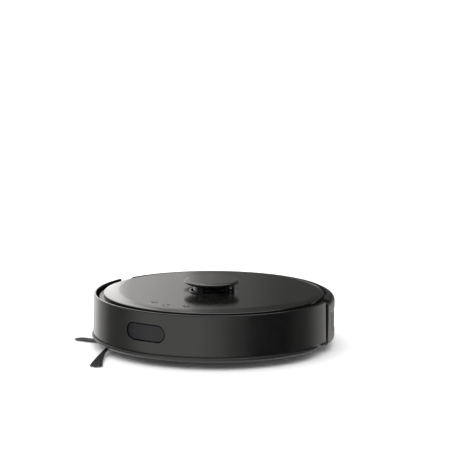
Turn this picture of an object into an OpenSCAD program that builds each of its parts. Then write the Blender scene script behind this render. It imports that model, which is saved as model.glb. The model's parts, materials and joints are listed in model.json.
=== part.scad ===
// Robot vacuum cleaner with a laser turret, a sprung front bumper, two sprung drive wheels,
// a main brush, one side brush, a rear dust bin and a suction fan.
// Origin: robot centre line on the floor. Front is -Y, the robot's left is +X, up is +Z.

/* [Body] */
// Outer radius of the rear housing
body_r = 175; // [174:0.5:176]
// Height of the flat of the top plate
plate_top = 78; // [77.5:0.1:79]
// Radius of the round top plate
plate_r = 159.5; // [158:0.1:160]
// Radius of the chassis behind the bumper
front_r = 165.8; // [165:0.1:166]
// Height of the underside above the floor
underside_z = 9.5; // [9.4:0.1:9.6]

/* [Bumper] */
// Outer radius of the bumper at its top rim
bumper_top_r = 173.2; // [173:0.1:173.5]
// Outer radius of the bumper at its lower edge
bumper_low_r = 174.5; // [174:0.1:175]
// Half the angle that the bumper spans
bumper_half = 95.5; // [94:0.5:96]

/* [Turret] */
// Distance of the turret axis in front of the centre
turret_fwd = 7; // [6:1:8]
// Radius of the turret cap
cap_r = 40; // [39:0.5:41]
// Radius of the turret collar and its pillars
collar_r = 33; // [32.8:0.1:33.1]
// Height of the top of the cap
cap_top = 94.6; // [94:0.1:95.5]

/* [Drive wheels] */
// Radius of a drive wheel over its tread
wheel_r = 33; // [32.5:0.1:33]
// Width of a tyre
wheel_w = 20; // [18:1:21]
// Distance between the middles of the two tyres
track = 232; // [230:1:234]
// Distance of the wheel axle behind the centre
wheel_back = 10; // [8:1:12]

/* [Brushes] */
// Radius of the main brush over its fins
brush_r = 20; // [19:0.5:20]
// Reach of a side brush tuft from its axis
tuft_reach = 106.7; // [95:0.1:110]

/* [Hidden] */
$fn = 96;

e = 0.1;                      // how far a cutter runs past a face
fit = 0.05;                   // radial clearance of a running fit
charcoal = "#2a2b2d";
black = "#151617";
satin = "#3b3c3e";
metal = "#b9bcc0";
board_green = "#23402f";

floor_t = 2.8;                // thickness of the pan's floor
floor_top = underside_z + floor_t;
deck_z = 68;                  // underside of the housing's deck
deck_top = 70.5;
rear_from = 98.2;             // where the rear housing begins, from the front
rim_from = 102.5;             // where its raised rim begins
bumper_top_z = 75.4;
bumper_low_z = 17.9;
bumper_t = 2.5;
turret = [0, -turret_fwd];
lidar_facing = 46;            // the way the rangefinder looks at rest, from the front
lidar_motor_at = [-37.7, 12.4];
belt_z = 71.2;
belt_h = 2;
head_pulley_r = 27.2;
motor_pulley_r = 5;
button_r = 4.5;
button_holes = [[0, -133], [-26, -121], [26, -121]];
button_low = 73.6;
wheel_z = wheel_r;
pivot_y = -42;                // swing arm pivot
pivot_z = 30;
arm_x = [86, 103];
wheel_x = track / 2 - wheel_w / 2;
brush_y = 46;
brush_z = underside_z - 2.5 + brush_r;
tunnel_r = brush_r + 2.5;
pulley_x = 85;
brush_motor_at = [24, 56];    // its axis, in Y and Z
drive_pulley_r = 12;
hinge_y = 18.5;               // hinge of the brush cover
hinge_z = 7.8;
side_at = [-82.5, -116.6];
side_turn = 282.8;            // direction of the first tuft's tip
caster_at = [0, -122];
caster_r = 13;
caster_trail = 5;
fan_at = [106, 90];
bin_x = 71;
bin_front = 82;
bin_z = [14.5, 58];
port = [-60, 100, 40, 30];    // evacuation port: x, y, width, depth
pill_turn = -3.25;            // middle of the bumper window, from the front
pill_half = 19.5;
pill_r = 11.5;
pill_z = 46;

// A profile in (radius, height) swept from one angle to another, counted from the front
module sweep(from, to) rotate([0, 0, from - 90]) rotate_extrude(angle = to - from) children();
module ring(r0, r1, z0, z1, from = -180, to = 180)
    sweep(from, to) translate([r0, z0]) square([r1 - r0, z1 - z0]);
module block(low, high) translate(low) cube(high - low);
module rod_x(x0, x1, y, z, r) translate([x0, y, z]) rotate([0, 90, 0]) cylinder(r = r, h = x1 - x0);
module rod_z(at, z0, z1, r) translate([at[0], at[1], z0]) cylinder(r = r, h = z1 - z0);
module at_side(side) { if (side > 0) children(); else mirror([1, 0, 0]) children(); }
module facing(angle) rotate([0, 0, angle - 90]) children();
module pair_x() { children(); mirror([1, 0, 0]) children(); }

// A coil of round wire along +Z, as rings joined by two straight wires
module coil(r, wire, length, turns) {
    for (i = [0 : turns - 1])
        translate([0, 0, wire + i * (length - 2 * wire) / (turns - 1)])
            rotate_extrude($fn = 32) translate([r, 0]) circle(r = wire, $fn = 16);
    for (turn = [0, 180])
        rotate([0, 0, turn]) translate([r, 0, wire]) cylinder(r = wire * 0.7, h = length - 2 * wire, $fn = 16);
}

// ---------- chassis ----------

module wheel_well() {
    block([wheel_x - 1.5, -28, floor_top - e], [wheel_x + wheel_w + 7.5, -26, 66]);
    block([wheel_x - 1.5, 46, floor_top - e], [wheel_x + wheel_w + 7.5, 48, 66]);
    block([wheel_x + wheel_w + 5.5, -28, floor_top - e], [wheel_x + wheel_w + 7.5, 48, 66]);
}

module pivot_ears() {
    for (x = [arm_x[0] - 5.5, arm_x[1] + 0.5])
        difference() {
            union() {
                block([x, pivot_y - 8, floor_top - e], [x + 5, pivot_y + 8, pivot_z]);
                rod_x(x, x + 5, pivot_y, pivot_z, 8);
            }
            rod_x(x - e, x + 5 + e, pivot_y, pivot_z, 4 + fit);
        }
    block([arm_x[0] + 2, -62, floor_top - e], [arm_x[1] - 2, -57, 60]);
    rod_x(arm_x[0] + 8.5 - 2, arm_x[0] + 8.5 + 2, -56.5, 57, 2);
}

module caster_socket() difference() {
    union() {
        rod_z(caster_at, floor_top - e, 38, 23);
        rod_z(caster_at, 38 - e, 46, 7);
    }
    rod_z(caster_at, 0, 35.5, 20.5);
    rod_z(caster_at, 35, 44.5, 4 + fit);
}

// A rim of the pan: its floor, a step above the middle's, and its wall
module pan_rim(r, wall_top, from, to, step) sweep(from, to) let (inner = 160 - 5 * step)
    polygon([[inner, underside_z + step], [r, underside_z + step], [r, wall_top], [r - 2.5, wall_top],
        [r - 2.5, floor_top + step], [inner, floor_top + step]]);

module pan_floor() {
    rod_z([0, 0], underside_z, floor_top, 163);
    pan_rim(front_r, 24, -rear_from, rear_from, 0.1);
    pan_rim(168.5, 16.3, rear_from - 0.3, 360.3 - rear_from, 0.2);
}

module pan_cutouts() {
    low = 0;
    high = floor_top + e;
    pair_x() {
        block([arm_x[0] - 0.4, -32, low], [arm_x[1] + 0.6, 33, high]);
        block([arm_x[1] + 0.4, -26, low], [wheel_x + wheel_w + 5.5, 46, high]);
    }
    block([-84.3, 21, low], [84.3, 71, high]);
    block([-56.3, -84.3, low], [56.3, 0.3, high]);
    rod_z(caster_at, low, high, 20.5);
    rod_z(side_at, low, high, 15.5);
    block([port[0] - 1, port[1] - 2, low], [port[0] + port[2] + 1, port[1] + port[3] + 2, high]);
    block([-73, 100, floor_top], [73, 190, 30]);
    for (p = sensor_places) block([p[0] - 9, p[1] - 4, low], [p[0] + 9, p[1] + 4, high]);
    for (p = screw_places) rod_z(p, low, high, 2.2);
    for (p = screw_places) rod_z(p, low, underside_z + 1.6, 3.6);
    for (x = [-9 : 6 : 9]) for (y = [-9 : 6 : 9]) rod_z([78 + x, -112 + y], low, high, 1.6, $fn = 24);
}

sensor_places = [[-38, -151], [38, -151], [-119, -95], [119, -95]];
screw_places = [for (a = [20, -20, 60, -60, 112, -112, 142, -142]) 156 * [sin(a), -cos(a)]];

module base_pan() color(charcoal) {
    difference() {
        pan_floor();
        pan_cutouts();
    }
    caster_socket();
    pair_x() wheel_well();
    pair_x() pivot_ears();
    // Low rails either side of the dust bin
    pair_x() block([73.5, 84, floor_top - e], [75.5, 148, 16]);
    for (x = [-48, 48]) for (y = [-88, 4.5]) rod_z([x, y], floor_top - e, 42, 3.5);
    // Ears that hold the brush cover's hinge pins
    pair_x() difference() {
        block([58.5, 16.2, 5.8], [61.5, 20.6, underside_z + e]);
        rod_x(58, 62, hinge_y, hinge_z, 1 + fit);
    }
}

// The rear wall with its rounded foot, sloping shoulder and thin raised rim
function arc_points(cx, cz, r, a0, a1, n = 8) =
    [for (i = [0 : n]) let (a = a0 + (a1 - a0) * i / n) [cx + r * cos(a), cz + r * sin(a)]];
rear_profile = concat([[168.9, 11.3]], arc_points(body_r - 3.5, 14.8, 3.5, -90, 0),
    arc_points(body_r - 9, 65.5, 9, 0, 70), [[165.9, 75.2]], arc_points(165.2, 75.2, 0.7, 0, 90, 4),
    arc_points(163.5, 75.2, 0.7, 90, 180, 4), [[162.8, 68.3], [168.5, 68.3]],
    arc_points(body_r - 9, 62, 6.3, 60, 0), [[172.3, 20], [168.9, 14]]);

module top_housing() color(charcoal) difference() {
    union() {
        rod_z([0, 0], deck_z, deck_top, 163.1);
        sweep(-rear_from, rear_from)
            polygon([[160, 68.15], [front_r - 2.5, 68.15], [front_r - 2.5, 24.2], [front_r, 24.2],
                [front_r, 70.35], [160, 70.35]]);
        sweep(rear_from - 0.1, 360.1 - rear_from) polygon(rear_profile);
        for (a = [rear_from - 0.2, -rear_from - 0.9])
            ring(164, body_r - 0.6, 22.3, deck_z + 1, a, a + 1.1);
        ring(plate_r - 8, plate_r - 4, deck_top - e, deck_top + 0.4);
        pair_x() block([56, -143.5, 40], [68, -140.5, deck_z + e]);
    }
    for (a = [rear_from - 1, -rim_from])
        ring(160, 180, deck_top + 0.1, 80, a, a + rim_from - rear_from + 1);
    rod_z(turret, deck_z - e, deck_top + e, 34);
    rod_z(lidar_motor_at, deck_z - e, deck_top + e, 3);
    block([-37, -143, deck_z - e], [37, -111, deck_top + e]);
    pair_x() block([54, -175, 38], [70, -146, 54]);
    pair_x() block([97, -150, 38], [111, -118, 54]);
    block([-73, 100, 8], [73, 190, 60.3]);
    ring(170, 180, 24, 58, 101.5, 121.5);
    for (a = [163.6, 191.3]) ring(172.4, 180, 62, 69, a, a + 5.1);
    block([-9, 173.9, 62], [9, 180, 69]);
}

// Circle cut by two large arcs whose edge slopes down to the rim
module crescent_cutter(scale_r, top, run, drop) {
    for (side = [-1, 1])
        translate([side * 42 * scale_r, 37 * scale_r, 0])
            rotate_extrude($fn = 180)
                polygon([[193 * scale_r, top], [193 * scale_r + run, top - drop],
                    [193 * scale_r + run, top + 10], [193 * scale_r, top + 10]]);
}

module top_plate() color(satin) difference() {
    rotate_extrude($fn = 180)
        polygon([[0, 71], [plate_r - 0.5, 71], [plate_r, 71.5], [plate_r, plate_top - 2.9],
            [plate_r - 0.8, plate_top - 2.1], [150.8, plate_top - 0.2], [149.5, plate_top], [0, plate_top]]);
    crescent_cutter(1, plate_top, 24, 2.4);
    rod_z([0, 0], 70, 73, plate_r - 2.5);
    intersection() {
        rod_z([0, 0], 70, plate_top - 2.4, plate_r - 12);
        translate([42, 37, 70]) cylinder(r = 186, h = 10);
        translate([-42, 37, 70]) cylinder(r = 186, h = 10);
    }
    rod_z(turret, 70, 80, collar_r + 0.4);
    for (p = button_holes) rod_z(p, 70, 80, button_r + 0.4);
}

// ---------- turret ----------

module turret_frame() color(black) {
    difference() {
        union() {
            translate([turret[0], turret[1], 0]) {
                rod_z([0, 0], 65.5, deck_z, collar_r + 0.5);
                rod_z([0, 0], 62.5, 66, 17);
                rod_z([0, 0], 67, plate_top + 1.2, collar_r);
                facing(242.8) block([25, -9, 65.9], [42.4, 9, 67.6]);
            }
            rod_z(lidar_motor_at, 65.7, 67.8, 12);
        }
        translate([turret[0], turret[1], 0]) {
            rod_z([0, 0], deck_z - 0.05, 90, collar_r - 3.5);
            rod_z([0, 0], 60, 70, 14);
            // Way out for the belt
            ring(collar_r - 6, collar_r + 6, deck_top + 0.1, belt_z + belt_h + 1, 188, 298);
        }
        rod_z(lidar_motor_at, 65, 69, 2.2);
    }
    translate([turret[0], turret[1], 0]) for (a = [0, 112, -112])
        ring(collar_r - 3.4, collar_r - 0.1, plate_top + 1, 88, a - 8, a + 8);
}

module turret_cap() color(satin) translate([turret[0], turret[1], 0]) difference() {
    rotate_extrude()
        polygon([[0, 88], [collar_r + 1.3, 88], [cap_r - 0.6, 91.7], [cap_r, 92.4], [cap_r, 92.9],
            [cap_r - 0.6, 93.4], [cap_r - 2.2, cap_top - 0.1], [cap_r - 3.2, cap_top], [0, cap_top]]);
    crescent_cutter(0.25, cap_top, 6.5, 1.6);
    rod_z([0, 0], 87, 91.6, collar_r - 3.5);
}

module lidar_bearing() color(metal) translate([turret[0], turret[1], 0]) ring(10 + fit, 14, 63, 67.9);

module lidar_head() color(black) translate([turret[0], turret[1], 0]) difference() {
    union() {
        rod_z([0, 0], 62.6, 71.1, 10);
        rod_z([0, 0], belt_z - 0.3, belt_z + belt_h + 0.2, head_pulley_r);
        rod_z([0, 0], belt_z + belt_h, 87.2, 26.5);
    }
    facing(lidar_facing) block([21, -30, 74.5], [40, 30, 86.2]);
    facing(lidar_facing) for (y = [-12, 12])
        translate([15, y, 80.4]) rotate([0, 90, 0]) cylinder(r = 4.2, h = 10);
    rod_z([0, 0], 60, 75, 5);
}

module lidar_lenses() color("#20242c") translate([turret[0], turret[1], 0])
    facing(lidar_facing) for (y = [-12, 12])
        translate([15, y, 80.4]) rotate([0, 90, 0]) rotate_extrude()
            polygon([[0, 0], [4.2, 0], [4.2, 6.6], [3.6, 7.1], [2, 7.5], [0, 7.6]]);

module lidar_motor() color(metal) difference() {
    rod_z(lidar_motor_at, 48, 65.4, 10);
    rod_z(lidar_motor_at, 58, 66, 1 + fit);
}

module lidar_pulley() color(black) {
    rod_z(lidar_motor_at, 58.5, belt_z, 1);
    rod_z(lidar_motor_at, belt_z - 0.5, belt_z - 0.25, motor_pulley_r + 1.5);
    rod_z(lidar_motor_at, belt_z - 0.3, belt_z + belt_h + 0.3, motor_pulley_r);
    rod_z(lidar_motor_at, belt_z + belt_h + 0.25, belt_z + belt_h + 0.7, motor_pulley_r + 1.5);
}

// A flat belt round two pulleys, outside them by a small gap
module belt_outline(a, ra, b, rb) difference() {
    hull() {
        translate(a) circle(r = ra + 1.2, $fn = 64);
        translate(b) circle(r = rb + 1.2, $fn = 32);
    }
    hull() {
        translate(a) circle(r = ra + 0.35, $fn = 64);
        translate(b) circle(r = rb + 0.35, $fn = 32);
    }
}

module lidar_belt() color("#0c0c0c") translate([0, 0, belt_z + 0.1]) linear_extrude(belt_h - 0.2)
    belt_outline(turret, head_pulley_r, lidar_motor_at, motor_pulley_r);

// ---------- buttons and electronics ----------

module button(at) color("#8d9094") translate([at[0], at[1], 0]) rotate_extrude()
    polygon([[0, button_low], [button_r + 1.2, button_low], [button_r + 1.2, 75.1], [button_r, 75.1],
        [button_r, plate_top - 0.1], [button_r - 0.5, plate_top + 0.3], [0, plate_top + 0.1]]);
module power_button() button(button_holes[0]);
module dock_button() button(button_holes[1]);
module spot_button() button(button_holes[2]);

module button_board() color(board_green) {
    block([-36.5, -142.5, 69], [36.5, -111.5, 70.6]);
    for (p = button_holes) {
        block([p[0] - 3, p[1] - 3, 70.5], [p[0] + 3, p[1] + 3, 72.2]);
        rod_z(p, 72.1, 72.7, 1.8);
    }
}

module main_board() color(board_green) difference() {
    union() {
        block([-52, -92, 42], [52, 8, 43.6]);
        block([-14, -60, 43.5], [14, -32, 46]);
        block([22, -74, 43.5], [40, -58, 45.5]);
        block([-42, -24, 43.5], [-24, -12, 45.5]);
        block([-44, -84, 43.5], [-30, -76, 52]);
        for (x = [28 : 8 : 44]) rod_z([x, -20], 43.5, 54, 3.2);
    }
    for (x = [-48, 48]) for (y = [-88, 4.5]) rod_z([x, y], 41, 45, 1.5);
}

module battery_pack() color("#33507a") {
    for (i = [-2 : 2]) translate([i * 20, -78, 23.5]) rotate([-90, 0, 0]) cylinder(r = 11.2, h = 72);
    block([-40, -77.5, 12.4], [40, -6.5, 34.6]);
}

module battery_cover() color(charcoal) difference() {
    union() {
        block([-56, -84, underside_z], [56, 0, underside_z + 2.2]);
        block([-20, -84, underside_z + 2.1], [20, -81, underside_z + 6]);
    }
    for (x = [-50, 50]) rod_z([x, -6], 5, 15, 2.2);
    for (x = [-50, 50]) rod_z([x, -6], 5, underside_z + 1, 3.6);
}

module speaker() color(black) {
    rod_z([78, -112], floor_top, 17, 18);
    translate([78, -112, 16.9]) cylinder(r1 = 17, r2 = 10, h = 7);
    rod_z([78, -112], 23.8, 29, 9);
}

module sensor_windows() color("#241418") {
    for (p = sensor_places)
        block([p[0] - 8.8, p[1] - 3.8, underside_z + 0.4], [p[0] + 8.8, p[1] + 3.8, 14]);
    intersection() {
        block([-8.8, 173.9, 62.2], [8.8, 176, 68.8]);
        ring(150, body_r - 0.2, 60, 72);
    }
}

module housing_screws() color(metal) {
    for (p = screw_places) {
        rod_z(p, underside_z + 0.4, underside_z + 1.6, 3.5);
        rod_z(p, underside_z + 1.5, 14.5, 2);
    }
    for (x = [-50, 50]) {
        rod_z([x, -6], underside_z + 0.2, underside_z + 1, 3.5);
        rod_z([x, -6], underside_z + 0.9, floor_top - 0.4, 2);
    }
}

module charging_contacts() color("#c9a96a") for (a = [163.8, 191.5])
    ring(172.6, body_r + 0.3, 62.2, 68.8, a, a + 4.7);

module bumper_switches() color(black) pair_x()
    translate([104, -127.5, 46]) facing(39.2) {
        block([-10, -5.5, -4], [-2, 5.5, 4]);
        block([-2.1, -1.5, -1], [3.2, 1.5, 1]);
    }

module exhaust_grille() color(black) {
    ring(172.6, body_r - 0.3, 24.2, 26.2, 101.7, 121.3);
    ring(172.6, body_r - 0.3, 55.8, 57.8, 101.7, 121.3);
    for (a = [102.1 : 1.4 : 120.4]) ring(172.8, body_r - 0.5, 25, 57, a, a + 0.7);
}

// ---------- suction ----------

module fan_housing() color(satin) {
    translate([fan_at[0], fan_at[1], 0]) difference() {
        union() {
            rod_z([0, 0], floor_top + 0.3, 46, 27);
            rotate([0, 0, -29]) block([16, -9, 22.3], [53, 9, 42]);
            block([-30.3, -6, 20], [-20, 30, 42]);
        }
        rod_z([0, 0], floor_top + 2, 44, 25);
        rod_z([0, 0], 40, 50, 8);
        rotate([0, 0, -29]) block([10, -7, 24.3], [60, 7, 40]);
        block([-40, -4, 22], [-18, 28, 40]);
    }
}

module fan_motor() color(metal) difference() {
    rod_z(fan_at, 46, 64, 14);
    rod_z(fan_at, 45, 58, 2 + fit);
}

module fan_impeller() color(black) translate([fan_at[0], fan_at[1], 0]) {
    rod_z([0, 0], 18, 20, 22.5);
    rod_z([0, 0], 19.9, 57, 2);
    rod_z([0, 0], 19.9, 38, 6);
    for (a = [0 : 40 : 359]) rotate([0, 0, a]) block([5, -0.8, 19.9], [22, 0.8, 36]);
}

// ---------- bumper ----------

module bumper_profile() {
    top_in = bumper_top_r - 2.7;
    polygon([[bumper_low_r - bumper_t, bumper_low_z], [bumper_low_r, bumper_low_z],
        [bumper_top_r + 0.05, bumper_top_z - 1.8], [bumper_top_r - 0.35, bumper_top_z - 0.6],
        [bumper_top_r - 1, bumper_top_z], [top_in + 0.4, bumper_top_z], [top_in, bumper_top_z - 0.4],
        [top_in, 69], [top_in + 0.5, 66]]);
}

// A pill outline standing on its side, cut through along the radius
module pill(grow) facing(pill_turn) translate([0, 0, pill_z]) {
    r = pill_r + grow;
    for (y = [-pill_half, pill_half])
        translate([150, y, 0]) rotate([0, 90, 0]) cylinder(r = r, h = 40);
    block([150, -pill_half, -r], [190, pill_half, r]);
}

module bumper_shell() color("#37383a") difference() {
    union() {
        sweep(-bumper_half, bumper_half) bumper_profile();
        // Spring seats on the inside
        pair_x() intersection() {
            block([57.5, -166, 41.5], [66.5, -158.6, 50.5]);
            ring(100, bumper_low_r - 1.5, 30, 60, -60, 60);
        }
    }
    pill(0.3);
}

module bumper_strip() color("#303133") {
    sweep(-84, 84)
        polygon([[172.1, 16.8], [175.4, 16.8], [176.2, 16.2], [176.4, 12.4], [173.8, 9.1],
            [171.6, 9.1], [171.2, 9.6], [171.2, 16.5]]);
    ring(172.3, 173.6, 16.7, bumper_low_z, -83.5, 83.5);
    for (a = [-87, 83.9])
        sweep(a, a + 3.1) polygon([[172.4, 16.6], [175, 16.2], [175.4, 15.5], [174.6, 13.2], [172.6, 11.7]]);
}

module bumper_window() color(black) intersection() {
    pill(0);
    ring(171, 173.1, 30, 60, -30, 30);
}

module bumper_springs() color(metal) pair_x()
    translate([62, -143.8, 46]) rotate([90, 0, 0]) coil(3.6, 0.5, 14.2, 6);

// ---------- main brush ----------

module brush_deck() color(black) {
    difference() {
        union() {
            rod_x(-84, 84, brush_y, brush_z, tunnel_r + 2);
            block([-84, 21.5, underside_z + 0.2], [84, 70.5, 24]);
            block([-42, 60, 24], [42, 81.7, 46]);
        }
        rod_x(-82, 82, brush_y, brush_z, tunnel_r);
        block([-82, brush_y - tunnel_r, 0], [82, brush_y + tunnel_r, brush_z]);
        block([-40, 55, 26], [40, 90, 44]);
        block([-90, 0, 0], [90, 100, underside_z + 0.25]);
        rod_x(-90, 90, brush_y, brush_z, 3 + fit);
    }
}

module main_brush_core() color("#5b5e62") {
    rod_x(-81, 81, brush_y, brush_z, 9);
    rod_x(-83.8, 91.5, brush_y, brush_z, 3);
}

// Herringbone fins that meet in the middle
module main_brush_fins() color("#d2691e")
    for (side = [-1, 1])
        translate([0, brush_y, brush_z]) rotate([0, 90, 0]) mirror([0, 0, side < 0 ? 1 : 0])
            linear_extrude(height = 79, twist = 75, slices = 14, segments = 1, $fn = 6) for (a = [0 : 60 : 359])
                rotate(a) translate([8.4, -0.9]) square([brush_r - 8.4, 1.8]);

module flanged_pulley(x, at, r, bore) difference() {
    union() {
        rod_x(x, x + 6, at[0], at[1], r);
        for (edge = [0, 5.2]) rod_x(x + edge, x + edge + 0.8, at[0], at[1], r + 1.5);
    }
    if (bore > 0) rod_x(x - e, x + 7, at[0], at[1], bore);
}

module brush_drive_pulley() color(satin) flanged_pulley(pulley_x, [brush_y, brush_z], drive_pulley_r, 3);
module brush_motor_pulley() color(satin) {
    flanged_pulley(pulley_x, brush_motor_at, 5, 0);
    rod_x(72, pulley_x + e, brush_motor_at[0], brush_motor_at[1], 1.5);
}
module brush_motor() color(metal) difference() {
    rod_x(38, 82, brush_motor_at[0], brush_motor_at[1], 10.5);
    rod_x(71, 83, brush_motor_at[0], brush_motor_at[1], 1.5 + fit);
}
module brush_belt() color("#0c0c0c")
    translate([pulley_x + 1.3, 0, 0]) rotate([90, 0, 90]) linear_extrude(3.4)
        belt_outline([brush_y, brush_z], drive_pulley_r, brush_motor_at, 5);

module brush_cover() color("#232426") {
    difference() {
        block([-92, 21.5, 7.2], [92, 78, 9.2]);
        block([-80.5, 28.5, 5], [80.5, 63.5, 10]);
        pair_x() block([40, 65.5, 5], [64, 75.8, 10]);
    }
    for (x = [-46, -16, 16, 46]) {
        block([x - 1, 27, 5.2], [x + 1, 65, 6.6]);
        block([x - 1, 26.5, 5.2], [x + 1, 28.6, 7.3]);
        block([x - 1, 63.4, 5.2], [x + 1, 65.4, 7.3]);
    }
    rod_x(-57.8, 57.8, hinge_y, hinge_z, 1.4);
    rod_x(-61.8, 61.8, hinge_y, hinge_z, 1);
    block([-57.8, hinge_y, 7.2], [57.8, 21.6, 9.2]);
}

module brush_cover_latches() color("#d4622a") pair_x() {
    block([40.5, 68.6, 6.8], [63.5, 75.4, 9]);
    block([43, 70, 6.1], [61, 71, 6.9]);
    block([43, 72.6, 6.1], [61, 73.6, 6.9]);
}

// ---------- side brush ----------

module side_brush_motor() color(satin) {
    difference() {
        rod_z(side_at, 14.6, 30, 16);
        rod_z(side_at, 14, 27, 3 + fit);
    }
    rod_z(side_at + [4, 3], 29.9, 56, 10);
}

module side_brush_hub() color("#2f3032") translate([side_at[0], side_at[1], 0]) {
    difference() {
        union() {
            rod_z([0, 0], 4.8, 9.2, 13);
            rod_z([0, 0], 9.1, 14, 8);
            rod_z([0, 0], 13.9, 26, 3);
        }
        rod_z([0, 0], 4, 6.3, 3.8);
    }
    for (a = [0, 120, 240]) rotate([0, 0, side_turn + a - 48]) {
        block([9, -4, 4.9], [22, 4, 8.4]);
        translate([22, 0, 4.9]) cylinder(r = 4, h = 3.5);
    }
}

module side_brush_screw() color(metal) rod_z(side_at, 5, 6.2, 3.6);

// One tuft: a flat fan that bends the same way round and comes down to the floor
function bezier(p0, p1, p2, t) = (1 - t) * (1 - t) * p0 + 2 * t * (1 - t) * p1 + t * t * p2;
tuft_steps = 12;
module tuft() {
    p0 = 23 * [cos(-48), sin(-48)];
    p2 = [tuft_reach, 0];
    p1 = (p0 + p2) / 2 + [1, -5];
    points = [for (i = [0 : tuft_steps]) let (
            t = i / tuft_steps,
            c = bezier(p0, p1, p2, t),
            d = 2 * (1 - t) * (p1 - p0) + 2 * t * (p2 - p1),
            n = [-d[1], d[0]] / norm(d),
            w = 2.2 + 7.5 * pow(t, 1.3),
            z = 1.1 + 4.6 * pow(1 - t, 1.4),
            h = 0.6 + 0.9 * (1 - t))
        each [[c[0] - n[0] * w, c[1] - n[1] * w, z], [c[0] + n[0] * w, c[1] + n[1] * w, z],
            [c[0] + n[0] * w, c[1] + n[1] * w, z + h], [c[0] - n[0] * w, c[1] - n[1] * w, z + h]]];
    faces = concat([[3, 2, 1, 0]],
        [for (i = [0 : tuft_steps - 1]) for (k = [0 : 3])
            each [[4 * i + k, 4 * i + (k + 1) % 4, 4 * i + 4 + (k + 1) % 4],
                [4 * i + k, 4 * i + 4 + (k + 1) % 4, 4 * i + 4 + k]]],
        [[for (k = [0 : 3]) 4 * tuft_steps + k]]);
    polyhedron(points, faces);
}

module side_brush_bristles() color("#3a3c40") translate([side_at[0], side_at[1], 0])
    for (a = [0, 120, 240]) rotate([0, 0, side_turn + a]) tuft();

// ---------- drive wheels, drawn for the robot's left ----------

module wheel_arm(side) color(satin) at_side(side) difference() {
    union() {
        rod_x(arm_x[0], arm_x[1], pivot_y, pivot_z, 12);
        rod_x(arm_x[0], arm_x[1], wheel_back, wheel_z, 15.5);
        translate([arm_x[0], 0, 0]) rotate([90, 0, 90]) linear_extrude(arm_x[1] - arm_x[0])
            polygon([[pivot_y + 1, pivot_z + 12], [pivot_y, pivot_z - 12], [wheel_back, wheel_z - 15.5],
                [wheel_back - 2, wheel_z + 15.4]]);
        rod_x(arm_x[0] - 5.4, arm_x[1] + 5.4, pivot_y, pivot_z, 4);
        rod_x(60, arm_x[0] + 1, -17, 46, 10.5);
        block([arm_x[0] + 6.5, -6, 44], [arm_x[0] + 10.5, -2, 59]);
    }
    rod_x(91, arm_x[1] + e, wheel_back, wheel_z, 4 + fit);
}

module wheel_hub(side) color("#55585c") at_side(side) {
    difference() {
        union() {
            rod_x(wheel_x + 1, wheel_x + wheel_w - 1, wheel_back, wheel_z, wheel_r - 6);
            rod_x(wheel_x - 2, wheel_x + wheel_w + 0.5, wheel_back, wheel_z, 9);
        }
        difference() {
            rod_x(wheel_x + wheel_w - 6, wheel_x + wheel_w, wheel_back, wheel_z, wheel_r - 9);
            rod_x(wheel_x, wheel_x + wheel_w + 2, wheel_back, wheel_z, 9);
        }
        translate([0, wheel_back, wheel_z]) for (a = [0 : 60 : 359]) rotate([a, 0, 0])
            rod_x(wheel_x, wheel_x + wheel_w, 16.5, 0, 4.5);
    }
    rod_x(91.5, wheel_x, wheel_back, wheel_z, 4);
}

module tyre(side) color(black) at_side(side) translate([wheel_x, wheel_back, wheel_z])
    rotate([0, 90, 0]) difference() {
        rotate_extrude()
            polygon([[wheel_r - 6, 0.8], [wheel_r - 3, 0], [wheel_r - 1, 1], [wheel_r, 3],
                [wheel_r, wheel_w - 3], [wheel_r - 1, wheel_w - 1], [wheel_r - 3, wheel_w],
                [wheel_r - 6, wheel_w - 0.8]]);
        for (i = [0 : 23]) rotate([0, 0, (i + 0.5) * 15])
            for (z = [2, 11]) rotate([0, 0, z < 5 ? 0 : 7.5])
                block([wheel_r - 2, -1.3, z], [wheel_r + 1, 1.3, z + 7]);
    }

module wheel_spring(side) color(metal) at_side(side)
    translate([arm_x[0] + 8.5, -54.2, 57]) rotate([-90, 0, 0]) coil(3, 0.5, 48, 16);

module wheel_arm_left() wheel_arm(1);
module wheel_arm_right() wheel_arm(-1);
module wheel_hub_left() wheel_hub(1);
module wheel_hub_right() wheel_hub(-1);
module tyre_left() tyre(1);
module tyre_right() tyre(-1);
module wheel_spring_left() wheel_spring(1);
module wheel_spring_right() wheel_spring(-1);

// ---------- caster ----------

caster_axle_y = caster_at[1] + caster_trail;

module caster_fork() color(charcoal) difference() {
    union() {
        translate([caster_at[0], caster_at[1], 0]) rotate_extrude()
            polygon([[0, 11], [15.5, 11], [18, 12.5], [19, 16], [19, 34], [17.5, 35], [0, 35]]);
        rod_z(caster_at, 34.9, 44, 4);
    }
    block([-7.7, -150, 0], [7.7, -90, 28]);
    rod_x(-14, 14, caster_axle_y, caster_r, 2);
}

module caster_axle() color(metal) rod_x(-13.5, 13.5, caster_axle_y, caster_r, 2);

module caster_wheel() color("#8f9296") translate([-7, caster_axle_y, caster_r]) rotate([0, 90, 0])
    rotate_extrude()
        polygon([[2 + fit, 0], [caster_r - 2, 0], [caster_r, 2.5], [caster_r, 11.5],
            [caster_r - 2, 14], [2 + fit, 14]]);

// ---------- dust bin ----------

module bin_outline(inset) intersection() {
    translate([-bin_x + inset, bin_front + inset]) square([2 * (bin_x - inset), 120]);
    circle(r = body_r - 0.1 - inset, $fn = 180);
}

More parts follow.
